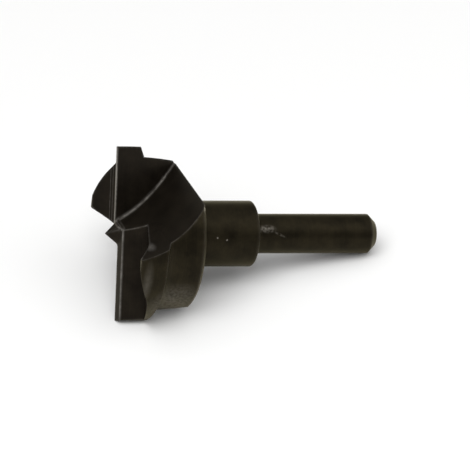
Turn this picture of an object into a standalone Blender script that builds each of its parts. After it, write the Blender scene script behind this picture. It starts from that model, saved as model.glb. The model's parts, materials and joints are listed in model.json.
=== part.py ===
"""Hinge boring bit, ground from one piece of steel, lying as it comes to rest on a bench.

Metres, +Z up. In the bit's own frame X runs from the cutting plane towards the shank, and an
angle is measured clockwise from up, as seen from the tip.
"""

import math

import bmesh
import bpy
from mathutils import Matrix, Vector

MM = 0.001

CUTTING_DIAMETER = 35.0 * MM
BAND_LENGTH = 5.7 * MM
BAND_SHOULDER = 0.9 * MM
BODY_CLEARANCE = 2.0 * MM
BODY_LENGTH = 14.2 * MM
BODY_CHAMFER = 0.6 * MM
COLLAR_DIAMETER = 13.3 * MM
COLLAR_LENGTH = 14.2 * MM
COLLAR_CHAMFER = 0.2 * MM
SHANK_DIAMETER = 8.0 * MM
SHANK_LENGTH = 26.3 * MM
SHANK_CHAMFER = 1.4 * MM
POINT_HEIGHT = 2.4 * MM
POINT_HALF_ANGLE = math.radians(44.0)

EDGE_ANGLE = math.radians(7.0)
EDGE_OFFSET = 1.1 * MM
RAKE_ANGLE = math.radians(22.0)
LAND_WIDTH = 1.9 * MM
LAND_RELIEF = math.radians(12.0)

FLOOR_ANGLE = math.radians(24.0)
FLOOR_HALF_WEB = 1.8 * MM
FLOOR_RADIUS = 25.0 * MM
FLOOR_START_SLOPE = math.radians(14.0)
FLOOR_END_SLOPE = math.radians(45.0)
VALLEY_FILLET = 0.5 * MM

SPUR_INSET = 1.0 * MM
GROOVE_WALL_SLOPE = math.radians(36.0)
GROOVE_FLOOR_SLOPE = math.radians(14.0)
GROOVE_WALL_DEPTH = 2.5 * MM
GROOVE_RADIUS = 6.0 * MM

TURNED_STEPS = 96
ARC_STEPS = 12
FILLET_STEPS = 3
CUTTER_REACH = 2.0 * CUTTING_DIAMETER
AHEAD = POINT_HEIGHT + 2.0 * MM
MERGE_DISTANCE = 0.001 * MM
ON_FLOOR_DISTANCE = 0.05 * MM

CUTTING_RADIUS = CUTTING_DIAMETER / 2
BODY_RADIUS = CUTTING_RADIUS - BODY_CLEARANCE
SPUR_REACH = CUTTING_RADIUS - SPUR_INSET
BODY_BACK = BODY_LENGTH
COLLAR_BACK = BODY_BACK + COLLAR_LENGTH
SHANK_BACK = COLLAR_BACK + SHANK_LENGTH

BLACK_OXIDE = (0.030, 0.027, 0.022, 1.0)
BLACK_OXIDE_METALLIC = 0.6
BLACK_OXIDE_ROUGHNESS = 0.45
SHARP_ANGLE = math.radians(25.0)


def clear_scene():
    """Remove the objects that the file opens with."""
    for old in list(bpy.data.objects):
        bpy.data.objects.remove(old, do_unlink=True)


def new_collection(name):
    """A collection under the scene's own."""
    made = bpy.data.collections.new(name)
    bpy.context.scene.collection.children.link(made)
    return made


def new_object(name, mesh_data, collection):
    """A mesh object made from a finished bmesh."""
    mesh = bpy.data.meshes.new(name)
    mesh_data.to_mesh(mesh)
    mesh_data.free()
    made = bpy.data.objects.new(name, mesh)
    collection.objects.link(made)
    return made


def across(angle):
    """The unit vector across the axis at an angle clockwise from up, seen from the tip."""
    return Vector((0.0, -math.sin(angle), math.cos(angle)))


def turned_blank():
    """The turned steel: cutting band, body, collar and shank, revolved about X."""
    profile = [
        (0.0, 0.0),
        (0.0, CUTTING_RADIUS),
        (BAND_LENGTH, CUTTING_RADIUS),
        (BAND_LENGTH + BAND_SHOULDER, BODY_RADIUS),
        (BODY_BACK - BODY_CHAMFER, BODY_RADIUS),
        (BODY_BACK, BODY_RADIUS - BODY_CHAMFER),
        (BODY_BACK, COLLAR_DIAMETER / 2),
        (COLLAR_BACK - COLLAR_CHAMFER, COLLAR_DIAMETER / 2),
        (COLLAR_BACK, COLLAR_DIAMETER / 2 - COLLAR_CHAMFER),
        (COLLAR_BACK, SHANK_DIAMETER / 2),
        (SHANK_BACK - SHANK_CHAMFER, SHANK_DIAMETER / 2),
        (SHANK_BACK, SHANK_DIAMETER / 2 - SHANK_CHAMFER),
        (SHANK_BACK, 0.0),
    ]
    blank = bmesh.new()
    points = [blank.verts.new((along, 0.0, radius)) for along, radius in profile]
    edges = [blank.edges.new(pair) for pair in zip(points, points[1:])]
    bmesh.ops.spin(
        blank,
        geom=points + edges,
        axis=(1.0, 0.0, 0.0),
        cent=(0.0, 0.0, 0.0),
        angle=math.tau,
        steps=TURNED_STEPS,
        use_merge=True,
    )
    bmesh.ops.remove_doubles(blank, verts=blank.verts, dist=MERGE_DISTANCE)
    bmesh.ops.recalc_face_normals(blank, faces=blank.faces)
    return blank


def centre_point():
    """The four-sided brad point, its flats in line with the web between the gullets."""
    root = LAND_WIDTH / 2
    height = POINT_HEIGHT + root
    point = bmesh.new()
    bmesh.ops.create_cone(
        point,
        cap_ends=True,
        segments=4,
        radius1=height * math.tan(POINT_HALF_ANGLE),
        radius2=0.0,
        depth=height,
    )
    # The cone stands along Z with its tip up; it is laid so that the tip leads along -X.
    stand = Matrix.Translation((root - height / 2, 0.0, 0.0))
    lay = Matrix.Rotation(-math.pi / 2, 4, "Y")
    turn = Matrix.Rotation(FLOOR_ANGLE + math.pi / 4, 4, "X")
    bmesh.ops.transform(point, matrix=stand @ turn @ lay, verts=point.verts)
    bmesh.ops.remove_doubles(point, verts=point.verts, dist=MERGE_DISTANCE)
    return point


def floor_line():
    """A gullet's floor as (along X, distance from the axis): a round sweep, with a ramp at each end."""
    centre_along = -FLOOR_RADIUS * math.sin(FLOOR_START_SLOPE)
    centre_height = FLOOR_HALF_WEB + FLOOR_RADIUS * math.cos(FLOOR_START_SLOPE)
    turn = FLOOR_END_SLOPE - FLOOR_START_SLOPE
    slopes = [FLOOR_START_SLOPE + turn * index / ARC_STEPS for index in range(ARC_STEPS + 1)]
    sweep = [
        (centre_along + FLOOR_RADIUS * math.sin(slope), centre_height - FLOOR_RADIUS * math.cos(slope))
        for slope in slopes
    ]
    start = (-AHEAD, sweep[0][1] - (sweep[0][0] + AHEAD) * math.tan(FLOOR_START_SLOPE))
    end_along = max(BODY_BACK, sweep[-1][0]) + AHEAD
    end = (end_along, sweep[-1][1] + (end_along - sweep[-1][0]) * math.tan(FLOOR_END_SLOPE))
    return [start, *sweep, end]


def floor_height(along):
    """Distance of a gullet's floor from the axis at one place along it."""
    line = floor_line()
    for before, after in zip(line, line[1:]):
        if along <= after[0] or after is line[-1]:
            share = (along - before[0]) / (after[0] - before[0])
            return before[1] + share * (after[1] - before[1])
    return line[-1][1]


def prism(outline, sideways, ruling):
    """A closed prism: an outline of (along X, sideways) points, drawn out along a ruling both ways."""
    solid = bmesh.new()
    start = -CUTTER_REACH / 2 * ruling
    corners = [
        solid.verts.new(start + side * sideways + Vector((along, 0.0, 0.0)))
        for along, side in outline
    ]
    near = solid.faces.new(corners)
    grown = bmesh.ops.extrude_face_region(solid, geom=[near])
    moved = [item for item in grown["geom"] if isinstance(item, bmesh.types.BMVert)]
    bmesh.ops.translate(solid, vec=CUTTER_REACH * ruling, verts=moved)
    bmesh.ops.recalc_face_normals(solid, faces=solid.faces)
    return solid


def gullet_cutter():
    """The chip space before one tooth: a swept floor below, and the tooth's raked face at its side."""
    outline = floor_line()
    outline += [(outline[-1][0], CUTTING_DIAMETER), (outline[0][0], CUTTING_DIAMETER)]
    cutter = prism(outline, across(FLOOR_ANGLE), across(FLOOR_ANGLE + math.pi / 2))
    forward = across(EDGE_ANGLE + math.pi / 2)
    rake_normal = (forward + Vector((math.tan(RAKE_ANGLE), 0.0, 0.0))).normalized()
    cut = bmesh.ops.bisect_plane(
        cutter,
        geom=list(cutter.verts) + list(cutter.edges) + list(cutter.faces),
        plane_co=-EDGE_OFFSET * forward,
        plane_no=rake_normal,
        clear_inner=True,
    )
    rim = [item for item in cut["geom_cut"] if isinstance(item, bmesh.types.BMEdge)]
    bmesh.ops.contextual_create(cutter, geom=rim)
    bmesh.ops.recalc_face_normals(cutter, faces=cutter.faces)
    valley = [edge for edge in rim if edge.is_valid and on_floor(edge)]
    bmesh.ops.bevel(
        cutter,
        geom=valley,
        offset=VALLEY_FILLET,
        offset_type="OFFSET",
        affect="EDGES",
        segments=FILLET_STEPS,
        profile=0.5,
        material=-1,
    )
    bmesh.ops.recalc_face_normals(cutter, faces=cutter.faces)
    return cutter


def on_floor(edge):
    """Whether both ends of an edge lie on the gullet's floor."""
    up = across(FLOOR_ANGLE)
    return all(
        abs(end.co.dot(up) - floor_height(end.co.x)) < ON_FLOOR_DISTANCE for end in edge.verts
    )


def groove_cutter():
    """The relief behind one tooth: its narrow land, its back, and the hollow that rises to the spur."""
    land_back = EDGE_OFFSET + LAND_WIDTH
    wall_foot = SPUR_REACH - GROOVE_WALL_DEPTH / math.tan(GROOVE_WALL_SLOPE)
    turns = [
        GROOVE_WALL_SLOPE + (GROOVE_FLOOR_SLOPE - GROOVE_WALL_SLOPE) * index / ARC_STEPS
        for index in range(ARC_STEPS + 1)
    ]
    hollow = [
        (
            GROOVE_WALL_DEPTH + GROOVE_RADIUS * (math.cos(turn) - math.cos(GROOVE_WALL_SLOPE)),
            wall_foot - GROOVE_RADIUS * (math.sin(GROOVE_WALL_SLOPE) - math.sin(turn)),
        )
        for turn in turns
    ]
    land_drop = LAND_WIDTH * math.tan(LAND_RELIEF)
    lean, rise = math.tan(RAKE_ANGLE), math.tan(GROOVE_FLOOR_SLOPE)
    # The tooth's back leans like its face, and meets the hollow's rising floor at the root.
    hollow_run = hollow[-1][1] - land_back + land_drop * lean
    root_along = (hollow[-1][0] + hollow_run * rise) / (1 + lean * rise)
    outline = [
        (-AHEAD, EDGE_OFFSET),
        (0.0, EDGE_OFFSET),
        (land_drop, land_back),
        (root_along, land_back + (root_along - land_drop) * lean),
    ]
    outline += list(reversed(hollow))
    outline.append((-AHEAD, SPUR_REACH + AHEAD / math.tan(GROOVE_WALL_SLOPE)))
    behind = across(EDGE_ANGLE - math.pi / 2)
    return prism(outline, behind, across(EDGE_ANGLE))


def boolean(target, other, operation):
    """Join or cut one mesh object with another, leaving the result in the target's mesh."""
    step = target.modifiers.new(operation.title(), "BOOLEAN")
    step.operation = operation
    step.solver = "EXACT"
    step.object = other
    bpy.context.view_layer.update()
    graph = bpy.context.evaluated_depsgraph_get()
    result = bpy.data.meshes.new_from_object(target.evaluated_get(graph))
    target.modifiers.remove(step)
    target.data = result


def shape_bit(collection, cutters):
    """The one solid: the turned blank, its point added and its two sets of gullet and groove cut."""
    bit = new_object("hinge_boring_bit", turned_blank(), collection)
    for turn in (0.0, math.pi):
        half_turn = Matrix.Rotation(turn, 4, "X")
        for label, make in (("gullet", gullet_cutter), ("groove", groove_cutter)):
            cutter = make()
            bmesh.ops.transform(cutter, matrix=half_turn, verts=cutter.verts)
            tool = new_object(f"{label}_cutter_{round(math.degrees(turn))}", cutter, cutters)
            boolean(bit, tool, "DIFFERENCE")
    point = new_object("centre_point_blank", centre_point(), cutters)
    boolean(bit, point, "UNION")
    for helper in cutters.objects:
        helper.hide_render = True
        helper.display_type = "WIRE"
        helper.hide_set(True)
    return bit


def centre_of_mass(solid):
    """The centre of a closed body, from the pyramids between its faces and the origin."""
    total = 0.0
    weighted = Vector()
    for face in bmesh.ops.triangulate(solid, faces=solid.faces)["faces"]:
        a, b, c = (corner.co for corner in face.verts)
        share = a.dot(b.cross(c))
        total += share
        weighted += share * (a + b + c) / 4
    return weighted / total


def holds_above(face, point):
    """Whether a point stands over a flat face of the hull, inside its edges."""
    corners = [vert.co for vert in face.verts]
    return all(
        (after - before).cross(point - before).dot(face.normal) > 0
        for before, after in zip(corners, corners[1:] + corners[:1])
    )


def rest_turn(bit):
    """The turn that lays the bit on the hull face under its weight, with a gullet's mouth downwards."""
    solid = bmesh.new()
    solid.from_mesh(bit.data)
    centre = centre_of_mass(solid)
    hull = bmesh.ops.convex_hull(solid, input=solid.verts)
    faces = [item for item in hull["geom"] if isinstance(item, bmesh.types.BMFace)]
    for face in faces:
        face.normal_update()
        if face.normal.dot(face.calc_center_median() - centre) < 0:
            face.normal_flip()
    mouth = across(math.pi + (FLOOR_ANGLE + EDGE_ANGLE) / 2)
    supports = [face for face in faces if holds_above(face, centre)]
    down = max(supports, key=lambda face: face.normal.dot(mouth)).normal.copy()
    solid.free()
    level = down.rotation_difference(Vector((0.0, 0.0, -1.0))).to_matrix()
    heading = level @ Vector((1.0, 0.0, 0.0))
    return (Matrix.Rotation(-math.atan2(heading.y, heading.x), 3, "Z") @ level).to_4x4()


def lay_down(bit):
    """Lay the bit at rest, its box centred on the origin and its lowest point at zero."""
    turn = rest_turn(bit)
    points = [turn @ vert.co for vert in bit.data.vertices]
    low = [min(point[axis] for point in points) for axis in range(3)]
    high = [max(point[axis] for point in points) for axis in range(3)]
    middle = Vector(((low[0] + high[0]) / 2, (low[1] + high[1]) / 2, low[2]))
    bit.rotation_euler = turn.to_euler()
    bit.location = -middle


def black_steel():
    """Black oxide over steel."""
    material = bpy.data.materials.new("black_oxide_steel")
    material.use_nodes = True
    shader = material.node_tree.nodes["Principled BSDF"]
    shader.inputs["Base Color"].default_value = BLACK_OXIDE
    shader.inputs["Metallic"].default_value = BLACK_OXIDE_METALLIC
    shader.inputs["Roughness"].default_value = BLACK_OXIDE_ROUGHNESS
    return material


def main():
    """Build the bit."""
    clear_scene()
    collection = new_collection("hinge_boring_bit")
    cutters = new_collection("cutters")
    bit = shape_bit(collection, cutters)
    bit.data.materials.clear()
    bit.data.materials.append(black_steel())
    bit.data.shade_smooth()
    bit.data.set_sharp_from_angle(angle=SHARP_ANGLE)
    lay_down(bit)


main()
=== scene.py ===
"""Looks of the hinge boring bit: one piece of steel, turned, ground and blacked.

The bit is shaped here as it is made. A blank is turned, the two gullets and the two reliefs are
ground out of it, and its edges are broken. Then it is blacked, with bare steel left where the
wheel and the rubbing of use have reached it. Highlights and reflections are painted in the same
bare-steel colour along the gullets' valley fillets and on patches of the bit. Metres. In the
bit's own frame X runs from the cutting plane to the shank, and an angle is measured clockwise
from up, as seen from the tip.
"""

import json
import logging
import math
from dataclasses import dataclass, field
from enum import Enum
from typing import Union

import bmesh
import bpy
from mathutils import Euler, Matrix, Vector, kdtree

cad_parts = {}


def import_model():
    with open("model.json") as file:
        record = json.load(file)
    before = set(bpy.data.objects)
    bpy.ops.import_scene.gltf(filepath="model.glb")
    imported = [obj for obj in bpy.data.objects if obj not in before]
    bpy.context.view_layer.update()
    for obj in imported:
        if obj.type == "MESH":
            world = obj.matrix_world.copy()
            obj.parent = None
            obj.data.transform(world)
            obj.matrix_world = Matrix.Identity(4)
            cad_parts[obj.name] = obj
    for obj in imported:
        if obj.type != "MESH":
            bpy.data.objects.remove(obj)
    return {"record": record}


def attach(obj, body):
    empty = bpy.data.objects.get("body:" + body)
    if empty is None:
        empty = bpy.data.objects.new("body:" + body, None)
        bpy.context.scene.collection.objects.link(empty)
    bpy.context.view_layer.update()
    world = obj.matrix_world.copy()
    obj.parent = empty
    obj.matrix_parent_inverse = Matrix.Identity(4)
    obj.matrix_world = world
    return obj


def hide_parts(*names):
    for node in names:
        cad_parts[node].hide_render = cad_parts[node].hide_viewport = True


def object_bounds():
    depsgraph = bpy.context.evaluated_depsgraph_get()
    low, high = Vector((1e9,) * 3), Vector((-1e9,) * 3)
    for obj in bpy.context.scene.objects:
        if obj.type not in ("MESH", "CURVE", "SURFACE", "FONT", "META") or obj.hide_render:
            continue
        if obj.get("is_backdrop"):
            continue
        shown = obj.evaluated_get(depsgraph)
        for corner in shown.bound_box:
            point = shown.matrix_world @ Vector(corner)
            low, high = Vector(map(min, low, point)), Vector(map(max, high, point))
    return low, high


LOG = logging.getLogger("boring_bit")

MM = 0.001
NODE = "hinge_boring_bit"
MERGE_DISTANCE = 0.0005 * MM
EDGE_FIELD = "worn_edge"
# Attribute for the highlight painted along the gullets' valley fillets.
VALLEY_HIGHLIGHT_FIELD = "painted_valley_highlight"
ROLL = math.radians(-32.389)
Value = Union[bpy.types.NodeSocket, float, tuple[float, ...], Vector, Euler]


class Surface(Enum):
    """How a face of the bit was cut, which is also the number of its material."""

    TURNED = 0
    GROUND = 1


class Line(Enum):
    """A line of bare-steel colour, at an edge or painted as a valley highlight: how bright it is, from
    0 to 1, and how wide it reaches.
    """

    HONED = (0.34, 0.36 * MM)
    BROKEN = (0.10, 0.30 * MM)
    # Painted highlight along the gullets' valley fillets.
    VALLEY_HIGHLIGHT = (0.42, 0.10 * MM)

    @property
    def brightness(self) -> float:
        """How bright the bare-steel colour is on the line itself."""
        return self.value[0]

    @property
    def reach(self) -> float:
        """How far from the line the bare-steel colour fades out."""
        return self.value[1]


class Cut(Enum):
    """What a boolean does with the other solid."""

    TAKE_AWAY = "DIFFERENCE"
    JOIN = "UNION"


def across(angle: float) -> Vector:
    """The unit vector across the axis at an angle clockwise from up, seen from the tip."""
    return Vector((0.0, -math.sin(angle), math.cos(angle)))


def object_from(shape: bmesh.types.BMesh, name: str) -> bpy.types.Object:
    """Make a mesh object from a finished bmesh.

    Args:
        shape: the finished shape, which is freed.
        name: the object's name.

    Returns:
        The object, linked to the scene.
    """
    mesh = bpy.data.meshes.new(name)
    shape.to_mesh(mesh)
    shape.free()
    made = bpy.data.objects.new(name, mesh)
    bpy.context.scene.collection.objects.link(made)
    return made


def cut_with(target: bpy.types.Object, shape: bmesh.types.BMesh, cut: Cut) -> None:
    """Cut a solid with another, or join it on, and keep the result in the target's mesh.

    Args:
        target: the solid that is changed.
        shape: the other solid, which is freed.
        cut: whether it is taken away or joined.
    """
    other = object_from(shape, "other_solid")
    step = target.modifiers.new("cut", "BOOLEAN")
    step.operation = cut.value
    step.solver = "EXACT"
    step.object = other
    bpy.context.view_layer.update()
    graph = bpy.context.evaluated_depsgraph_get()
    result = bpy.data.meshes.new_from_object(target.evaluated_get(graph))
    target.modifiers.remove(step)
    target.data = result
    bpy.data.objects.remove(other)


def prism(
    outline: list[tuple[float, float]], sideways: Vector, ruling: Vector, reach: float
) -> bmesh.types.BMesh:
    """Draw an outline out into a closed prism, both ways along a ruling.

    Args:
        outline: points as (along X, sideways).
        sideways: the direction of the second number.
        ruling: the direction in which the outline is drawn out.
        reach: the prism's whole length.

    Returns:
        The prism, its faces outward and marked as ground.
    """
    solid = bmesh.new()
    start = -reach / 2 * ruling
    corners = [
        solid.verts.new(start + side * sideways + Vector((along, 0.0, 0.0)))
        for along, side in outline
    ]
    near = solid.faces.new(corners)
    grown = bmesh.ops.extrude_face_region(solid, geom=[near])
    moved = [item for item in grown["geom"] if isinstance(item, bmesh.types.BMVert)]
    bmesh.ops.translate(solid, vec=reach * ruling, verts=moved)
    bmesh.ops.recalc_face_normals(solid, faces=solid.faces)
    for face in solid.faces:
        face.material_index = Surface.GROUND.value
    return solid


@dataclass
class TurnedBlank:
    """The turned steel: cutting band, body, collar and shank."""

    cutting_diameter: float = 35.0 * MM
    band_length: float = 5.7 * MM
    band_shoulder: float = 0.9 * MM
    body_clearance: float = 2.0 * MM
    body_length: float = 14.2 * MM
    body_chamfer: float = 0.6 * MM
    collar_diameter: float = 13.3 * MM
    collar_length: float = 14.2 * MM
    collar_chamfer: float = 0.2 * MM
    shank_diameter: float = 8.0 * MM
    shank_length: float = 26.3 * MM
    shank_chamfer: float = 1.4 * MM
    steps: int = 168

    @property
    def collar_back(self) -> float:
        """Where the collar ends and the shank starts."""
        return self.body_length + self.collar_length

    @property
    def back(self) -> float:
        """The shank's end."""
        return self.collar_back + self.shank_length

    def build(self) -> bmesh.types.BMesh:
        """Turn the profile about X.

        Returns:
            The closed blank, its faces outward.
        """
        cutting = self.cutting_diameter / 2
        body = cutting - self.body_clearance
        collar = self.collar_diameter / 2
        shank = self.shank_diameter / 2
        profile = [
            (0.0, 0.0),
            (0.0, cutting),
            (self.band_length, cutting),
            (self.band_length + self.band_shoulder, body),
            (self.body_length - self.body_chamfer, body),
            (self.body_length, body - self.body_chamfer),
            (self.body_length, collar),
            (self.collar_back - self.collar_chamfer, collar),
            (self.collar_back, collar - self.collar_chamfer),
            (self.collar_back, shank),
            (self.back - self.shank_chamfer, shank),
            (self.back, shank - self.shank_chamfer),
            (self.back, 0.0),
        ]
        blank = bmesh.new()
        points = [blank.verts.new((along, 0.0, radius)) for along, radius in profile]
        edges = [blank.edges.new(pair) for pair in zip(points, points[1:])]
        bmesh.ops.spin(
            blank,
            geom=points + edges,
            axis=(1.0, 0.0, 0.0),
            cent=(0.0, 0.0, 0.0),
            angle=math.tau,
            steps=self.steps,
            use_merge=True,
        )
        bmesh.ops.remove_doubles(blank, verts=blank.verts, dist=MERGE_DISTANCE)
        bmesh.ops.recalc_face_normals(blank, faces=blank.faces)
        return blank


@dataclass
class Tooth:
    """One tooth, which two cuts leave standing: the gullet before it and the relief behind it."""

    blank: TurnedBlank
    edge_angle: float = math.radians(7.0)
    edge_offset: float = 1.1 * MM
    rake: float = math.radians(22.0)
    land_width: float = 1.9 * MM
    land_relief: float = math.radians(12.0)
    floor_angle: float = math.radians(24.0)
    floor_half_web: float = 1.8 * MM
    floor_radius: float = 25.0 * MM
    floor_start_slope: float = math.radians(14.0)
    floor_end_slope: float = math.radians(45.0)
    valley_fillet: float = 0.3 * MM
    spur_inset: float = 1.0 * MM
    wall_slope: float = math.radians(36.0)
    wall_depth: float = 2.5 * MM
    hollow_slope: float = math.radians(14.0)
    hollow_radius: float = 6.0 * MM
    ahead: float = 4.4 * MM
    arc_steps: int = 40
    fillet_steps: int = 4
    on_floor: float = 0.05 * MM

    @property
    def reach(self) -> float:
        """The length that a cutter is drawn out to."""
        return 2 * self.blank.cutting_diameter

    def floor_line(self) -> list[tuple[float, float]]:
        """The gullet's floor from the side.

        Returns:
            Points as (along X, distance from the axis): a round sweep with a ramp at each end.
        """
        centre_along = -self.floor_radius * math.sin(self.floor_start_slope)
        centre_height = self.floor_half_web + self.floor_radius * math.cos(self.floor_start_slope)
        turn = self.floor_end_slope - self.floor_start_slope
        slopes = [
            self.floor_start_slope + turn * step / self.arc_steps
            for step in range(self.arc_steps + 1)
        ]
        sweep = [
            (
                centre_along + self.floor_radius * math.sin(slope),
                centre_height - self.floor_radius * math.cos(slope),
            )
            for slope in slopes
        ]
        first, last = sweep[0], sweep[-1]
        start = (-self.ahead, first[1] - (first[0] + self.ahead) * math.tan(self.floor_start_slope))
        end_along = max(self.blank.body_length, last[0]) + self.ahead
        end = (end_along, last[1] + (end_along - last[0]) * math.tan(self.floor_end_slope))
        return [start, *sweep, end]

    def floor_height(self, along: float) -> float:
        """How far the gullet's floor is from the axis at one place along it.

        Args:
            along: the place along X.

        Returns:
            The distance.
        """
        line = self.floor_line()
        for before, after in zip(line, line[1:]):
            if along <= after[0] or after is line[-1]:
                share = (along - before[0]) / (after[0] - before[0])
                return before[1] + share * (after[1] - before[1])
        return line[-1][1]

    def lies_on_floor(self, edge: bmesh.types.BMEdge) -> bool:
        """Whether both ends of an edge lie on the gullet's floor."""
        up = across(self.floor_angle)
        return all(
            abs(end.co.dot(up) - self.floor_height(end.co.x)) < self.on_floor
            for end in edge.verts
        )

    def gullet(self) -> bmesh.types.BMesh:
        """The chip space before the tooth.

        Returns:
            The solid that the wheel takes away: a swept floor, the tooth's raked face at its side,
            and the fillet of the wheel's corner in the valley between them.
        """
        floor = self.floor_line()
        top = self.blank.cutting_diameter
        outline = [*floor, (floor[-1][0], top), (floor[0][0], top)]
        up = across(self.floor_angle)
        cutter = prism(outline, up, across(self.floor_angle + math.pi / 2), self.reach)
        forward = across(self.edge_angle + math.pi / 2)
        cut = bmesh.ops.bisect_plane(
            cutter,
            geom=list(cutter.verts) + list(cutter.edges) + list(cutter.faces),
            plane_co=-self.edge_offset * forward,
            plane_no=(forward + Vector((math.tan(self.rake), 0.0, 0.0))).normalized(),
            clear_inner=True,
        )
        rim = [item for item in cut["geom_cut"] if isinstance(item, bmesh.types.BMEdge)]
        bmesh.ops.contextual_create(cutter, geom=rim)
        bmesh.ops.recalc_face_normals(cutter, faces=cutter.faces)
        bmesh.ops.bevel(
            cutter,
            geom=[edge for edge in rim if edge.is_valid and self.lies_on_floor(edge)],
            offset=self.valley_fillet,
            offset_type="OFFSET",
            affect="EDGES",
            segments=self.fillet_steps,
            profile=0.5,
            material=-1,
        )
        bmesh.ops.recalc_face_normals(cutter, faces=cutter.faces)
        for face in cutter.faces:
            face.material_index = Surface.GROUND.value
        return cutter

    def relief(self) -> bmesh.types.BMesh:
        """What is taken away behind the tooth.

        Returns:
            A solid that leaves the narrow land, the tooth's back, and the hollow that rises to the
            spur at the rim.
        """
        spur = self.blank.cutting_diameter / 2 - self.spur_inset
        land_back = self.edge_offset + self.land_width
        wall_foot = spur - self.wall_depth / math.tan(self.wall_slope)
        turn = self.hollow_slope - self.wall_slope
        slopes = [
            self.wall_slope + turn * step / self.arc_steps for step in range(self.arc_steps + 1)
        ]
        hollow = [
            (
                self.wall_depth + self.hollow_radius * (math.cos(slope) - math.cos(self.wall_slope)),
                wall_foot - self.hollow_radius * (math.sin(self.wall_slope) - math.sin(slope)),
            )
            for slope in slopes
        ]
        land_drop = self.land_width * math.tan(self.land_relief)
        lean, rise = math.tan(self.rake), math.tan(self.hollow_slope)
        hollow_run = hollow[-1][1] - land_back + land_drop * lean
        root_along = (hollow[-1][0] + hollow_run * rise) / (1 + lean * rise)
        outline = [
            (-self.ahead, self.edge_offset),
            (0.0, self.edge_offset),
            (land_drop, land_back),
            (root_along, land_back + (root_along - land_drop) * lean),
        ]
        outline += list(reversed(hollow))
        outline.append((-self.ahead, spur + self.ahead / math.tan(self.wall_slope)))
        sideways = across(self.edge_angle - math.pi / 2)
        return prism(outline, sideways, across(self.edge_angle), self.reach)

    def cut_out(self, bit: bpy.types.Object, turn: float) -> None:
        """Cut this tooth into the bit.

        Args:
            bit: the solid that is cut.
            turn: how far round the axis the tooth stands.
        """
        round_axis = Matrix.Rotation(turn, 4, "X")
        for cutter in (self.gullet(), self.relief()):
            bmesh.ops.transform(cutter, matrix=round_axis, verts=cutter.verts)
            cut_with(bit, cutter, Cut.TAKE_AWAY)


@dataclass
class CentrePoint:
    """The four-sided point that leads the bit, its flats in line with the web."""

    sides: int = 4
    height: float = 2.4 * MM
    root: float = 0.95 * MM
    half_angle: float = math.radians(44.0)
    turned: float = math.radians(24.0)

    def build(self) -> bmesh.types.BMesh:
        """Make the point, its tip leading along -X.

        Returns:
            The closed point, which reaches into the web by its root.
        """
        length = self.height + self.root
        point = bmesh.new()
        bmesh.ops.create_cone(
            point,
            cap_ends=True,
            segments=self.sides,
            radius1=length * math.tan(self.half_angle),
            radius2=0.0,
            depth=length,
        )
        stand = Matrix.Translation((self.root - length / 2, 0.0, 0.0))
        lay = Matrix.Rotation(-math.pi / 2, 4, "Y")
        turn = Matrix.Rotation(self.turned + math.pi / self.sides, 4, "X")
        bmesh.ops.transform(point, matrix=stand @ turn @ lay, verts=point.verts)
        bmesh.ops.remove_doubles(point, verts=point.verts, dist=MERGE_DISTANCE)
        for face in point.faces:
            face.material_index = Surface.GROUND.value
        return point


class Reckoning(Enum):
    """What a Math node does with its values."""

    LESS = "SUBTRACT"
    TIMES = "MULTIPLY"
    TIMES_PLUS = "MULTIPLY_ADD"
    LARGER = "MAXIMUM"


class Blend(Enum):
    """What a Mix node blends: its data type, the numbers of its two inputs and of its result."""

    NUMBER = ("FLOAT", 2, 3, 0)
    COLOUR = ("RGBA", 6, 7, 2)


def feed(tree: bpy.types.NodeTree, value: Value, socket: bpy.types.NodeSocket) -> None:
    """Link a value to a socket, or set it on the socket where it is constant.

    Args:
        tree: the node tree.
        value: another node's socket, or a constant.
        socket: the input that takes it.
    """
    if isinstance(value, bpy.types.NodeSocket):
        tree.links.new(value, socket)
    else:
        socket.default_value = value


def add_node(tree: bpy.types.NodeTree, kind: str, values: dict[str, Value]) -> bpy.types.Node:
    """Add a node and feed its inputs.

    Args:
        tree: the node tree.
        kind: the node's type.
        values: what goes into its inputs, by their names.

    Returns:
        The node.
    """
    node = tree.nodes.new(kind)
    for name, value in values.items():
        feed(tree, value, node.inputs[name])
    return node


def reckon(
    tree: bpy.types.NodeTree, step: Reckoning, *values: Value, clamp: bool = False
) -> bpy.types.NodeSocket:
    """Reckon with two or three values.

    Args:
        tree: the node tree.
        step: what is done with them.
        values: the values, in the Math node's order.
        clamp: whether the result is kept from 0 to 1.

    Returns:
        The result's socket.
    """
    node = tree.nodes.new("ShaderNodeMath")
    node.operation = step.value
    node.use_clamp = clamp
    for socket, value in zip(node.inputs, values):
        feed(tree, value, socket)
    return node.outputs[0]


def blended(
    tree: bpy.types.NodeTree, blend: Blend, share: Value, first: Value, second: Value
) -> bpy.types.NodeSocket:
    """Blend one value into another.

    Args:
        tree: the node tree.
        blend: what is blended.
        share: how much of the second value there is, from 0 to 1.
        first: the first value.
        second: the second value.

    Returns:
        The result's socket.
    """
    data_type, first_input, second_input, result = blend.value
    node = tree.nodes.new("ShaderNodeMix")
    node.data_type = data_type
    feed(tree, share, node.inputs[0])
    feed(tree, first, node.inputs[first_input])
    feed(tree, second, node.inputs[second_input])
    return node.outputs[result]


def object_place(tree: bpy.types.NodeTree) -> bpy.types.NodeSocket:
    """The Object coordinates, as a socket."""
    return tree.nodes.new("ShaderNodeTexCoord").outputs["Object"]


def add_number_input(tree: bpy.types.ShaderNodeTree, label: str, start: float) -> None:
    """Give a group a number input with a starting value."""
    socket = tree.interface.new_socket(label, in_out="INPUT", socket_type="NodeSocketFloat")
    socket.default_value = start


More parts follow.
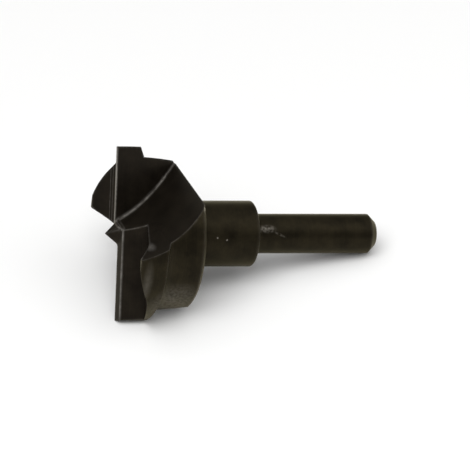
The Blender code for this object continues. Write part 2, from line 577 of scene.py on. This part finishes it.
@dataclass(frozen=True)
class WearAndHighlightGroup:
    """Bare steel along the edges, and a highlight painted in bare-steel colour along the valley
    fillets, broken up by noise.
    """

    name: str = "bare steel and valley highlight"
    amount: float = 0.8
    # strength of the painted highlight along the valley fillets
    valley: float = 0.5
    breakup: float = 420.0
    detail: float = 5.0
    roughness: float = 0.65
    noise_low: float = 0.34
    noise_high: float = 0.66
    least_left: float = 0.3

    def build(self) -> bpy.types.ShaderNodeTree:
        """Build the group.

        Returns:
            A group with the inputs Amount, Valley and Breakup, and the output Mask.
        """
        tree = bpy.data.node_groups.new(self.name, "ShaderNodeTree")
        add_number_input(tree, "Amount", self.amount)
        add_number_input(tree, "Valley", self.valley)
        add_number_input(tree, "Breakup", self.breakup)
        tree.interface.new_socket("Mask", in_out="OUTPUT", socket_type="NodeSocketFloat")
        inward = tree.nodes.new("NodeGroupInput").outputs
        outward = tree.nodes.new("NodeGroupOutput").inputs
        noise = {
            "Vector": object_place(tree),
            "Scale": inward["Breakup"],
            "Detail": self.detail,
            "Roughness": self.roughness,
        }
        spread = {
            "Value": add_node(tree, "ShaderNodeTexNoise", noise).outputs["Fac"],
            "From Min": self.noise_low,
            "From Max": self.noise_high,
        }
        left = add_node(tree, "ShaderNodeMapRange", spread).outputs["Result"]
        edge = reckon(tree, Reckoning.TIMES, self.field(tree, EDGE_FIELD), inward["Amount"])
        # The valley term is a painted highlight along the gullets' fillets.
        valley = reckon(tree, Reckoning.TIMES, self.field(tree, VALLEY_HIGHLIGHT_FIELD), inward["Valley"])
        worn_and_lit = reckon(tree, Reckoning.LARGER, edge, valley)
        torn = reckon(tree, Reckoning.TIMES, worn_and_lit, left)
        mask = reckon(tree, Reckoning.TIMES_PLUS, worn_and_lit, self.least_left, torn, clamp=True)
        tree.links.new(mask, outward["Mask"])
        return tree

    def field(self, tree: bpy.types.ShaderNodeTree, name: str) -> bpy.types.NodeSocket:
        """Read one of the piece's point attributes.

        Args:
            tree: the group.
            name: the attribute's name.

        Returns:
            Its value's socket.
        """
        attribute = tree.nodes.new("ShaderNodeAttribute")
        attribute.attribute_name = name
        return attribute.outputs["Fac"]


@dataclass(frozen=True)
class GrainGroup:
    """The fine lines that a tool leaves, drawn out along one direction."""

    name: str = "tool marks"
    fineness: float = 1.0
    contrast: float = 0.5
    detail: float = 3.0
    roughness: float = 0.6
    middle: float = 0.5

    def build(self) -> bpy.types.ShaderNodeTree:
        """Build the group.

        Returns:
            A group with the inputs Vector, Fineness and Contrast, and the outputs Height and Shade.
        """
        tree = bpy.data.node_groups.new(self.name, "ShaderNodeTree")
        tree.interface.new_socket("Vector", in_out="INPUT", socket_type="NodeSocketVector")
        add_number_input(tree, "Fineness", self.fineness)
        add_number_input(tree, "Contrast", self.contrast)
        for label in ("Height", "Shade"):
            tree.interface.new_socket(label, in_out="OUTPUT", socket_type="NodeSocketFloat")
        inward = tree.nodes.new("NodeGroupInput").outputs
        outward = tree.nodes.new("NodeGroupOutput").inputs
        noise = {
            "Vector": inward["Vector"],
            "Scale": inward["Fineness"],
            "Detail": self.detail,
            "Roughness": self.roughness,
        }
        height = add_node(tree, "ShaderNodeTexNoise", noise).outputs["Fac"]
        centred = reckon(tree, Reckoning.LESS, height, self.middle)
        shade = reckon(
            tree, Reckoning.TIMES_PLUS, centred, inward["Contrast"], self.middle, clamp=True
        )
        tree.links.new(height, outward["Height"])
        tree.links.new(shade, outward["Shade"])
        return tree


@dataclass(frozen=True)
class WearAndHighlightPatch:
    """A patch of bare-steel colour, most often a painted highlight or reflection: its place, size and
    slant in the bit's own frame.
    """

    along: float
    toward: float
    up: float
    length: float
    width: float
    strength: float
    slant: float = 0.0
    flecked: float = 1.0

    def add_to(
        self,
        tree: bpy.types.ShaderNodeTree,
        placed: Matrix,
        coordinates: bpy.types.NodeSocket,
        breakup: bpy.types.NodeSocket,
    ) -> bpy.types.NodeSocket:
        """Add the patch's mask to a material.

        Args:
            tree: the material's nodes.
            placed: the bit's own frame in the row frame.
            coordinates: the Object coordinates.
            breakup: a noise that breaks the patch up.

        Returns:
            The mask's socket, from 0 to the strength.
        """
        spread = {
            "Vector": coordinates,
            "Location": placed @ Vector((self.along, -self.toward, self.up)),
            "Rotation": (placed @ Matrix.Rotation(self.slant, 4, "Y")).to_euler(),
            "Scale": (self.length / 2, self.width, self.width / 2),
        }
        where = add_node(tree, "ShaderNodeMapping", spread)
        where.vector_type = "TEXTURE"
        patch = add_node(tree, "ShaderNodeTexGradient", {"Vector": where.outputs["Vector"]})
        patch.gradient_type = "SPHERICAL"
        rubbed_and_lit = reckon(tree, Reckoning.TIMES, patch.outputs["Fac"], self.strength, clamp=True)
        flecks = add_node(
            tree, "ShaderNodeMapRange", {"Value": breakup, "To Min": 1.0 - self.flecked}
        )
        return reckon(tree, Reckoning.TIMES, rubbed_and_lit, flecks.outputs["Result"])


@dataclass(frozen=True)
class BlackedSteel:
    """Black oxide on steel, with the marks of the tool that cut it, bare steel at its edges, and
    painted highlights and reflections in the bare-steel colour.
    """

    name: str
    dark: tuple[float, float, float, float]
    light: tuple[float, float, float, float]
    # bare steel's colour, also used for the painted highlights and reflections
    bare: tuple[float, float, float, float]
    grazing: tuple[float, float, float, float]
    roughness: float
    roughness_spread: float
    bare_roughness: float
    marks: tuple[float, float, float]
    mark_turn: float
    mark_depth: float
    mottle_scale: float
    fleck_scale: float
    metal_share: float
    oxide_gloss: float
    edge_amount: float
    # strength of the painted highlight along the valley fillets
    valley_amount: float
    # patches of bare-steel colour, most of them painted highlights and reflections
    wear_and_highlight_patches: tuple[WearAndHighlightPatch, ...]
    mark_share: float = 0.4
    mark_strength: float = 0.5
    mottle_detail: float = 6.0
    mottle_roughness: float = 0.6
    fleck_detail: float = 4.0
    fleck_range: tuple[float, float] = (0.36, 0.6)
    tone_stops: tuple[float, float] = (0.36, 0.66)
    tone_range: tuple[float, float] = (0.3, 0.7)

    def build(
        self, placed: Matrix, wear: bpy.types.ShaderNodeTree, grain: bpy.types.ShaderNodeTree
    ) -> bpy.types.Material:
        """Build the finish.

        Args:
            placed: the bit's own frame in the row frame.
            wear: the group for the bare-steel colour at the edges and the painted valley highlight.
            grain: the tool mark group.

        Returns:
            The material.
        """
        material = bpy.data.materials.new(self.name)
        material.use_nodes = True
        tree = material.node_tree
        shader = tree.nodes["Principled BSDF"]
        coordinates = object_place(tree)
        lines = self.tool_marks(tree, placed, coordinates, grain)
        tone = self.tone(tree, coordinates, lines["Shade"])
        bare_and_highlight = self.bare_and_highlight(tree, placed, coordinates, wear)
        oxide = add_node(tree, "ShaderNodeValToRGB", {"Fac": tone})
        ends = zip(oxide.color_ramp.elements, self.tone_stops, (self.dark, self.light))
        for stop, position, colour in ends:
            stop.position = position
            stop.color = colour
        # The bare-steel colour goes on the edges and on the painted highlights and reflections.
        coat = blended(tree, Blend.COLOUR, bare_and_highlight, oxide.outputs["Color"], self.bare)
        spread = {
            "Value": tone,
            "From Min": self.tone_range[0],
            "From Max": self.tone_range[1],
            "To Min": self.roughness - self.roughness_spread,
            "To Max": self.roughness + self.roughness_spread,
        }
        rough = add_node(tree, "ShaderNodeMapRange", spread).outputs["Result"]
        relief = {
            "Strength": self.mark_strength,
            "Distance": self.mark_depth,
            "Height": lines["Height"],
        }
        metal = add_node(tree, "ShaderNodeMapRange", {"Value": bare_and_highlight, "To Min": self.metal_share})
        feed(tree, coat, shader.inputs["Base Color"])
        polished = blended(tree, Blend.NUMBER, bare_and_highlight, rough, self.bare_roughness)
        feed(tree, polished, shader.inputs["Roughness"])
        feed(tree, add_node(tree, "ShaderNodeBump", relief).outputs["Normal"], shader.inputs["Normal"])
        feed(tree, metal.outputs["Result"], shader.inputs["Metallic"])
        feed(tree, self.oxide_gloss, shader.inputs["Specular IOR Level"])
        feed(tree, self.grazing, shader.inputs["Specular Tint"])
        return material

    def tool_marks(
        self,
        tree: bpy.types.ShaderNodeTree,
        placed: Matrix,
        coordinates: bpy.types.NodeSocket,
        grain: bpy.types.ShaderNodeTree,
    ) -> bpy.types.NodeOutputs:
        """Place the tool mark group, in line with the bit.

        Args:
            tree: the material's nodes.
            placed: the bit's own frame in the row frame.
            coordinates: the Object coordinates.
            grain: the tool mark group.

        Returns:
            The group's outputs, Height and Shade.
        """
        spread = {
            "Vector": coordinates,
            "Location": placed.translation,
            "Rotation": (placed @ Matrix.Rotation(self.mark_turn, 4, "X")).to_euler(),
            "Scale": self.marks,
        }
        along = add_node(tree, "ShaderNodeMapping", spread)
        along.vector_type = "TEXTURE"
        lines = tree.nodes.new("ShaderNodeGroup")
        lines.node_tree = grain
        feed(tree, along.outputs["Vector"], lines.inputs["Vector"])
        return lines.outputs

    def tone(
        self,
        tree: bpy.types.ShaderNodeTree,
        coordinates: bpy.types.NodeSocket,
        shade: bpy.types.NodeSocket,
    ) -> bpy.types.NodeSocket:
        """Mottle the oxide, with the tool's marks in it.

        Args:
            tree: the material's nodes.
            coordinates: the Object coordinates.
            shade: the tool marks' shade.

        Returns:
            The tone's socket, from 0 for the dark to 1 for the light.
        """
        noise = {
            "Vector": coordinates,
            "Scale": self.mottle_scale,
            "Detail": self.mottle_detail,
            "Roughness": self.mottle_roughness,
        }
        mottle = add_node(tree, "ShaderNodeTexNoise", noise)
        return blended(tree, Blend.NUMBER, self.mark_share, mottle.outputs["Fac"], shade)

    def bare_and_highlight(
        self,
        tree: bpy.types.ShaderNodeTree,
        placed: Matrix,
        coordinates: bpy.types.NodeSocket,
        wear: bpy.types.ShaderNodeTree,
    ) -> bpy.types.NodeSocket:
        """Find where the bare-steel colour goes: at the edges, as a painted highlight along the valley
        fillets, and on the patches, most of which are painted highlights and reflections.

        Args:
            tree: the material's nodes.
            placed: the bit's own frame in the row frame.
            coordinates: the Object coordinates.
            wear: the group for the bare-steel colour at the edges and the painted valley highlight.

        Returns:
            The mask's socket, from 0 to 1.
        """
        worn_and_lit = tree.nodes.new("ShaderNodeGroup")
        worn_and_lit.node_tree = wear
        worn_and_lit.inputs["Amount"].default_value = self.edge_amount
        worn_and_lit.inputs["Valley"].default_value = self.valley_amount
        noise = {"Vector": coordinates, "Scale": self.fleck_scale, "Detail": self.fleck_detail}
        spread = {
            "Value": add_node(tree, "ShaderNodeTexNoise", noise).outputs["Fac"],
            "From Min": self.fleck_range[0],
            "From Max": self.fleck_range[1],
        }
        flecks = add_node(tree, "ShaderNodeMapRange", spread).outputs["Result"]
        mask = worn_and_lit.outputs["Mask"]
        # Most patches are painted highlights and reflections.
        for mark in self.wear_and_highlight_patches:
            patch = mark.add_to(tree, placed, coordinates, flecks)
            mask = reckon(tree, Reckoning.LARGER, mask, patch)
        return mask


class WornAndLitLines:
    """Points along the lines that the bare-steel colour follows, at edges and along the painted valley
    highlight, which can be searched by place.
    """

    def __init__(self, points: list[tuple[Vector, Line]]) -> None:
        """Keep the points in a search tree.

        Args:
            points: points along the lines, each with its kind of line.
        """
        self.kinds = [kind for _, kind in points]
        self.tree = kdtree.KDTree(len(points))
        for index, (place, _) in enumerate(points):
            self.tree.insert(place, index)
        self.tree.balance()

    def wear_and_highlight_at(self, place: Vector) -> float:
        """Find how much bare-steel colour a place gets.

        Args:
            place: the place.

        Returns:
            The amount, from 0 to 1.
        """
        _, index, distance = self.tree.find(place)
        line = self.kinds[index]
        return line.brightness * max(0.0, 1.0 - distance / line.reach)

    def touches(self, place: Vector, radius: float) -> bool:
        """Whether any bare-steel colour shows within a radius of a place."""
        _, index, distance = self.tree.find(place)
        return distance < self.kinds[index].reach + radius


@dataclass
class BoringBit:
    """The whole bit in one piece: turned, cut, with its edges broken, and blacked."""

    placed: Matrix
    blank: TurnedBlank = field(default_factory=TurnedBlank)
    point: CentrePoint = field(default_factory=CentrePoint)
    break_width: float = 0.035 * MM
    break_steps: int = 2
    sharp_angle: float = math.radians(24.0)
    fillet_turn: float = math.radians(8.0)
    honed_depth: float = 0.5 * MM
    joined: float = 0.05 * MM
    longest_edge: float = 2.0 * MM
    longest_edge_near_wear_and_highlight: float = 0.50 * MM
    refine_rounds: int = 6
    sample_gap: float = 0.1 * MM
    normal_weight: int = 80

    def build(self) -> bpy.types.Object:
        """Shape the bit and lay it in its place.

        Returns:
            The finished piece, its object at the origin.
        """
        bit = object_from(self.blank.build(), "boring_bit")
        for finish in Surface:
            bit.data.materials.append(bpy.data.materials.new(finish.name))
        tooth = Tooth(self.blank)
        for turn in (0.0, math.pi):
            tooth.cut_out(bit, turn)
        cut_with(bit, self.point.build(), Cut.JOIN)
        shape = bmesh.new()
        shape.from_mesh(bit.data)
        bmesh.ops.remove_doubles(shape, verts=shape.verts, dist=self.joined)
        bmesh.ops.dissolve_degenerate(shape, edges=shape.edges, dist=self.joined)
        worn_and_lit = self.worn_and_lit_lines(shape)
        self.break_edges(shape)
        self.refine(shape, worn_and_lit)
        self.mark_wear_and_highlight(shape, worn_and_lit)
        bmesh.ops.transform(shape, matrix=self.placed, verts=shape.verts)
        for face in shape.faces:
            face.smooth = True
        shape.to_mesh(bit.data)
        shape.free()
        flatten = bit.modifiers.new("flat faces stay flat", "WEIGHTED_NORMAL")
        flatten.mode = "FACE_AREA_WITH_ANGLE"
        flatten.weight = self.normal_weight
        return bit

    def worn_and_lit_lines(self, shape: bmesh.types.BMesh) -> dict[str, WornAndLitLines]:
        """Find the lines that the bare-steel colour follows: the edges, and the valley fillets, where a
        highlight is painted.

        Args:
            shape: the cut bit, before its edges are broken.

        Returns:
            The outer edges and the gullets' valley fillets with their painted highlight, by the name of
            their attribute.
        """
        edges: list[tuple[Vector, Line]] = []
        valley_highlights: list[tuple[Vector, Line]] = []
        for edge in shape.edges:
            if len(edge.link_faces) != 2:
                continue
            turn = edge.calc_face_angle_signed(0.0)
            ground = all(face.material_index == Surface.GROUND.value for face in edge.link_faces)
            if turn > self.sharp_angle:
                honed = ground and all(abs(vert.co.x) < self.honed_depth for vert in edge.verts)
                edges += [(point, Line.HONED if honed else Line.BROKEN) for point in self.samples(edge)]
            # Shallow concave turns between ground faces are the valley fillets, which get a painted
            # highlight.
            elif ground and -self.sharp_angle < turn < -self.fillet_turn:
                valley_highlights += [(point, Line.VALLEY_HIGHLIGHT) for point in self.samples(edge)]
        return {EDGE_FIELD: WornAndLitLines(edges), VALLEY_HIGHLIGHT_FIELD: WornAndLitLines(valley_highlights)}

    def samples(self, edge: bmesh.types.BMEdge) -> list[Vector]:
        """Lay points along an edge, no further apart than the sample gap.

        Args:
            edge: the edge.

        Returns:
            The points, both ends among them.
        """
        count = max(1, math.ceil(edge.calc_length() / self.sample_gap))
        start, end = (vert.co for vert in edge.verts)
        return [start.lerp(end, step / count) for step in range(count + 1)]

    def break_edges(self, shape: bmesh.types.BMesh) -> None:
        """Round every outer edge by a hair, as a wheel leaves it.

        Args:
            shape: the cut bit.
        """
        sharp = [
            edge
            for edge in shape.edges
            if len(edge.link_faces) == 2 and edge.calc_face_angle_signed(0.0) > self.sharp_angle
        ]
        bmesh.ops.bevel(
            shape,
            geom=sharp,
            offset=self.break_width,
            offset_type="OFFSET",
            affect="EDGES",
            segments=self.break_steps,
            profile=0.5,
            clamp_overlap=False,
            material=-1,
        )

    def is_long(self, edge: bmesh.types.BMEdge, worn_and_lit: dict[str, WornAndLitLines]) -> bool:
        """Whether an edge is too long for the bare-steel colour that fades out along it.

        Args:
            edge: the edge.
            worn_and_lit: the lines that the bare-steel colour follows.

        Returns:
            True where it is to be divided.
        """
        length = edge.calc_length()
        if length > self.longest_edge:
            return True
        if length < self.longest_edge_near_wear_and_highlight:
            return False
        middle = (edge.verts[0].co + edge.verts[1].co) / 2
        return any(lines.touches(middle, length / 2) for lines in worn_and_lit.values())

    def refine(self, shape: bmesh.types.BMesh, worn_and_lit: dict[str, WornAndLitLines]) -> None:
        """Divide long edges, so that the bare-steel colour fades over points that lie close together.

        Args:
            shape: the bit.
            worn_and_lit: the lines that the bare-steel colour follows.
        """
        bmesh.ops.triangulate(shape, faces=shape.faces)
        for _ in range(self.refine_rounds):
            long_edges = [edge for edge in shape.edges if self.is_long(edge, worn_and_lit)]
            bmesh.ops.subdivide_edges(shape, edges=long_edges, cuts=1)
            wide = [face for face in shape.faces if len(face.verts) > 3]
            bmesh.ops.triangulate(shape, faces=wide)

    def mark_wear_and_highlight(self, shape: bmesh.types.BMesh, worn_and_lit: dict[str, WornAndLitLines]) -> None:
        """Store how much bare-steel colour each point gets, at the edges and from the painted valley
        highlight.

        Args:
            shape: the bit.
            worn_and_lit: the lines that the bare-steel colour follows, by the name of their attribute.
        """
        for name, lines in worn_and_lit.items():
            layer = shape.verts.layers.float.new(name)
            for vert in shape.verts:
                vert[layer] = lines.wear_and_highlight_at(vert.co)

    def dress(self, bit: bpy.types.Object) -> None:
        """Give the bit its two finishes.

        Args:
            bit: the finished piece.
        """
        wear, grain = WearAndHighlightGroup().build(), GrainGroup().build()
        for finish in Surface:
            bit.data.materials[finish.value] = FINISHES[finish].build(self.placed, wear, grain)


FINISHES = {
    Surface.TURNED: BlackedSteel(
        name="turned black oxide",
        dark=(0.0070, 0.0056, 0.0034, 1.0),
        light=(0.0240, 0.0192, 0.0105, 1.0),
        bare=(0.50, 0.46, 0.40, 1.0),
        grazing=(0.92, 0.85, 0.62, 1.0),
        roughness=0.36,
        roughness_spread=0.08,
        bare_roughness=0.3,
        marks=(0.12 * MM, 6.0 * MM, 6.0 * MM),
        mark_turn=0.0,
        mark_depth=0.02 * MM,
        mottle_scale=260.0,
        fleck_scale=1800.0,
        metal_share=0.6,
        oxide_gloss=0.14,
        edge_amount=0.4,
        valley_amount=0.0,
        wear_and_highlight_patches=(
            # painted highlight on the shank's front, just behind the collar
            WearAndHighlightPatch(
                along=30.6 * MM,
                toward=3.9 * MM,
                up=0.9 * MM,
                length=5.0 * MM,
                width=1.9 * MM,
                strength=0.3,
            ),
            # narrow slanted bright streak on the shank's front
            WearAndHighlightPatch(
                along=33.4 * MM,
                toward=4.0 * MM,
                up=-0.2 * MM,
                length=3.6 * MM,
                width=0.6 * MM,
                strength=0.25,
                slant=math.radians(24.0),
            ),
            # painted highlight on the near rim at the back of the body
            WearAndHighlightPatch(
                along=14.0 * MM,
                toward=14.4 * MM,
                up=5.1 * MM,
                length=1.2 * MM,
                width=2.6 * MM,
                strength=0.6,
            ),
            # small bright spot on the collar
            WearAndHighlightPatch(
                along=19.3 * MM,
                toward=6.6 * MM,
                up=-0.9 * MM,
                length=0.5 * MM,
                width=0.5 * MM,
                strength=0.6,
            ),
            # small bright spot on the collar
            WearAndHighlightPatch(
                along=21.3 * MM,
                toward=6.5 * MM,
                up=-1.3 * MM,
                length=0.5 * MM,
                width=0.5 * MM,
                strength=0.8,
            ),
            # painted highlight on the lower near side of the cutting band
            WearAndHighlightPatch(
                along=1.9 * MM,
                toward=14.1 * MM,
                up=-10.4 * MM,
                length=2.6 * MM,
                width=11.0 * MM,
                strength=0.10,
                flecked=0.2,
            ),
            # painted reflection: the lower near side of the body made lighter towards the bottom
            WearAndHighlightPatch(
                along=9.6 * MM,
                toward=7.4 * MM,
                up=-15.2 * MM,
                length=15.0 * MM,
                width=12.0 * MM,
                strength=0.24,
                flecked=0.7,
            ),
        ),
    ),
    Surface.GROUND: BlackedSteel(
        name="ground black oxide",
        dark=(0.0085, 0.0066, 0.0050, 1.0),
        light=(0.0190, 0.0150, 0.0105, 1.0),
        bare=(0.56, 0.53, 0.49, 1.0),
        grazing=(0.80, 0.75, 0.62, 1.0),
        roughness=0.40,
        roughness_spread=0.08,
        bare_roughness=0.28,
        marks=(0.18 * MM, 0.18 * MM, 7.0 * MM),
        mark_turn=math.radians(7.0),
        mark_depth=0.02 * MM,
        mottle_scale=300.0,
        fleck_scale=1800.0,
        metal_share=0.5,
        oxide_gloss=0.14,
        edge_amount=0.9,
        # strength of the painted highlight along the valley fillets
        valley_amount=0.5,
        wear_and_highlight_patches=(
            # painted highlight on the facet at the near spur's corner
            WearAndHighlightPatch(
                along=2.9 * MM,
                toward=12.8 * MM,
                up=-2.6 * MM,
                length=2.6 * MM,
                width=3.0 * MM,
                strength=0.26,
                flecked=0.4,
            ),
            # painted highlight along the upper tooth's front flank, at its cutting edge
            WearAndHighlightPatch(
                along=0.0,
                toward=1.0 * MM,
                up=9.0 * MM,
                length=0.7 * MM,
                width=18.0 * MM,
                strength=0.75,
                flecked=0.5,
            ),
        ),
    ),
}


@dataclass(frozen=True)
class Lamp:
    """A soft square lamp: its turn from -Y towards +X and its height, as angles, and its watts."""

    name: str
    azimuth: float
    elevation: float
    power: float


@dataclass
class Studio:
    """A pale floor and soft light."""

    floor_radius: float = 2.0
    floor_sides: int = 96
    floor_roughness: float = 0.9
    floor_gloss: float = 0.1
    floor_colour: tuple[float, float, float, float] = (0.96, 0.96, 0.955, 1.0)
    sky: tuple[tuple[float, float], ...] = ((0.0, 0.8), (0.28, 0.34), (0.58, 0.24), (0.85, 1.0))
    lamp_distance: float = 0.7
    lamp_width: float = 0.6
    lamps: tuple[Lamp, ...] = (
        Lamp("key_lamp", math.radians(-35.0), math.radians(58.0), 2.7),
        Lamp("fill_lamp", math.radians(60.0), math.radians(40.0), 0.8),
    )

    def build(self, aim: Vector) -> None:
        """Put in the floor, the sky and the lamps.

        Args:
            aim: the point that the lamps face.
        """
        shape = bmesh.new()
        bmesh.ops.create_circle(
            shape, cap_ends=True, segments=self.floor_sides, radius=self.floor_radius
        )
        floor = object_from(shape, "floor")
        floor.data.materials.append(self.floor_material())
        floor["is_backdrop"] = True
        bpy.context.scene.world = self.sky_world()
        for plan in self.lamps:
            self.hang(plan, aim)

    def sky_world(self) -> bpy.types.World:
        """A grey room that is pale at the horizon and overhead, and darker between.

        Returns:
            The world.
        """
        world = bpy.data.worlds.new("sky")
        world.use_nodes = True
        tree = world.node_tree
        direction = tree.nodes.new("ShaderNodeTexCoord")
        split = tree.nodes.new("ShaderNodeSeparateXYZ")
        shade = tree.nodes.new("ShaderNodeValToRGB")
        stops = shade.color_ramp.elements
        while len(stops) < len(self.sky):
            stops.new(stops[-1].position / 2)
        for stop, (height, grey) in zip(stops, self.sky):
            stop.position = height
            stop.color = (grey, grey, grey, 1.0)
        tree.links.new(direction.outputs["Generated"], split.inputs["Vector"])
        tree.links.new(split.outputs["Z"], shade.inputs["Fac"])
        tree.links.new(shade.outputs["Color"], tree.nodes["Background"].inputs["Color"])
        return world

    def floor_material(self) -> bpy.types.Material:
        """Make plain pale matt paper.

        Returns:
            The material.
        """
        material = bpy.data.materials.new("pale paper")
        material.use_nodes = True
        shader = material.node_tree.nodes["Principled BSDF"]
        shader.inputs["Base Color"].default_value = self.floor_colour
        shader.inputs["Roughness"].default_value = self.floor_roughness
        shader.inputs["Specular IOR Level"].default_value = self.floor_gloss
        return material

    def hang(self, plan: Lamp, aim: Vector) -> None:
        """Hang one lamp.

        Args:
            plan: the lamp's name, place and power.
            aim: the point that it faces.
        """
        data = bpy.data.lights.new(plan.name, "AREA")
        data.shape = "SQUARE"
        data.size = self.lamp_width
        data.energy = plan.power
        lamp = bpy.data.objects.new(plan.name, data)
        bpy.context.scene.collection.objects.link(lamp)
        back = Vector(
            (
                math.sin(plan.azimuth) * math.cos(plan.elevation),
                -math.cos(plan.azimuth) * math.cos(plan.elevation),
                math.sin(plan.elevation),
            )
        )
        lamp.location = aim + self.lamp_distance * back
        lamp.rotation_euler = back.to_track_quat("Z", "Y").to_euler()
        lamp.visible_camera = False
        lamp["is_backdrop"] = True


@dataclass
class PhotoCamera:
    """The camera, which sees the bit from before its head, with the bit's own up as its up."""

    placed: Matrix
    toward_head: float = math.radians(18.8)
    aim_along: float = 25.22 * MM
    aim_up: float = -0.30 * MM
    field: float = 94.8 * MM
    lens: float = 600.0
    sensor: float = 36.0

    def build(self) -> None:
        """Make the camera and set it as the scene's."""
        turn = self.placed.to_3x3()
        back = turn @ Vector((-math.sin(self.toward_head), -math.cos(self.toward_head), 0.0))
        up = turn @ Vector((0.0, 0.0, 1.0))
        data = bpy.data.cameras.new("camera")
        data.lens = self.lens
        data.sensor_width = self.sensor
        camera = bpy.data.objects.new("camera", data)
        bpy.context.scene.collection.objects.link(camera)
        distance = self.field * self.lens / self.sensor
        aim = self.placed @ Vector((self.aim_along, 0.0, self.aim_up))
        axes = Matrix((up.cross(back), up, back)).transposed().to_4x4()
        camera.matrix_world = Matrix.Translation(aim + distance * back) @ axes
        bpy.context.scene.camera = camera


def bit_frame(record: dict, blank: TurnedBlank) -> Matrix:
    """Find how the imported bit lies.

    Args:
        record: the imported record, whose mount is the shank's end.
        blank: the blank, for its length.

    Returns:
        The bit's own frame in the row frame.
    """
    shank_end = record["mounts"][0]
    axis = Vector(shank_end["axis"]).normalized()
    dip = math.asin(-axis.z)
    origin = Vector(shank_end["pos_m"]) - blank.back * axis
    turned = Matrix.Rotation(dip, 4, "Y") @ Matrix.Rotation(ROLL, 4, "X")
    return Matrix.Translation(origin) @ turned


def main() -> None:
    """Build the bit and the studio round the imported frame."""
    logging.basicConfig(level=logging.INFO, format="%(name)s: %(message)s")
    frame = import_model()
    cad_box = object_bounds()
    blank = TurnedBlank()
    placed = bit_frame(frame["record"], blank)
    maker = BoringBit(placed, blank)
    bit = maker.build()
    maker.dress(bit)
    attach(bit, "root")
    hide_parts(NODE)
    LOG.info("%s: %d faces, %d materials", bit.name, len(bit.data.polygons), len(bit.data.materials))
    low, high = cad_box
    Studio().build((low + high) / 2)
    LOG.info("studio: floor, sky and lamps")
    PhotoCamera(placed).build()
    LOG.info("camera: set")
    bpy.context.scene.view_settings.view_transform = "Standard"


if __name__ == "__main__":
    main()
